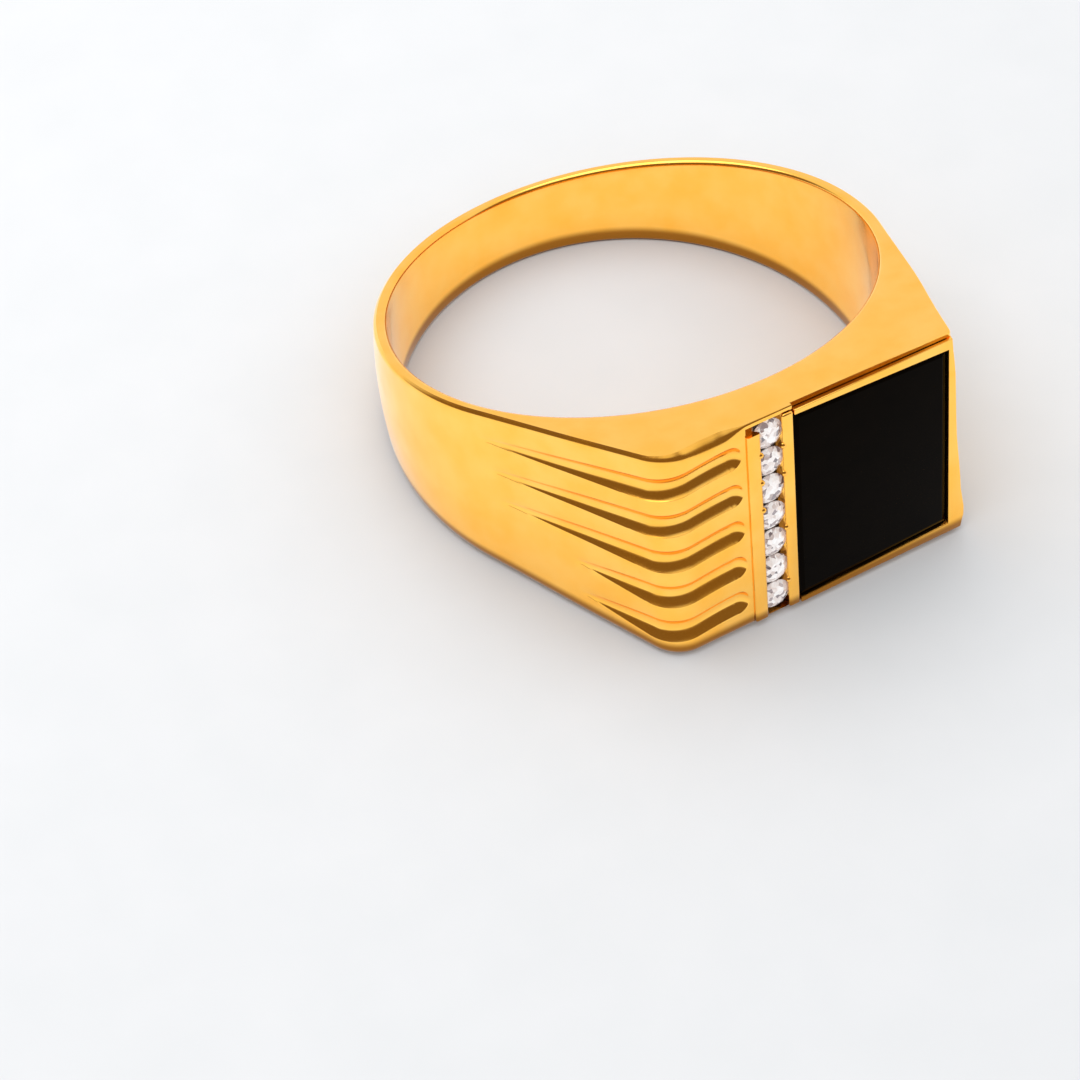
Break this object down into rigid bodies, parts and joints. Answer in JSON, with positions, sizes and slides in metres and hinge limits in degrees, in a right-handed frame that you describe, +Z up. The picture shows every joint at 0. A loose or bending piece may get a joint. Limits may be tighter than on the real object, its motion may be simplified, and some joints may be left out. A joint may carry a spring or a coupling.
{
  "type": "signet ring",
  "caption": "Man's gold signet ring lying on its side: fluted left shoulder, a channel of small clear stones and an inlaid black onyx tablet in a gold bezel.",
  "frame": {"origin": "bottom centre of the ring's box, on the surface it lies on, with the ring lying on its lower side face", "axes": "+Z up, through the finger hole and 8.4 degrees off its axis; -Y the way the head faces; +X towards the tablet's end of the head"},
  "size_m": [0.0208, 0.0234, 0.0099],
  "materials": {
    "polished_gold": "cast yellow gold, high polish",
    "black_onyx": "lapped and polished black onyx",
    "cement": "dark epoxy",
    "clear_stone": "faceted and polished round brilliant"
  },
  "bodies": {
    "root": {"shank": "polished_gold", "bezel": "polished_gold", "rail_left": "polished_gold", "rail_right": "polished_gold", "channel_seat": "polished_gold", "onyx_tablet": "black_onyx", "onyx_cement": "cement", "stone_1": "clear_stone", "stone_2": "clear_stone", "stone_3": "clear_stone", "stone_4": "clear_stone", "stone_5": "clear_stone", "stone_6": "clear_stone", "stone_7": "clear_stone"}
  },
  "joints": []
}
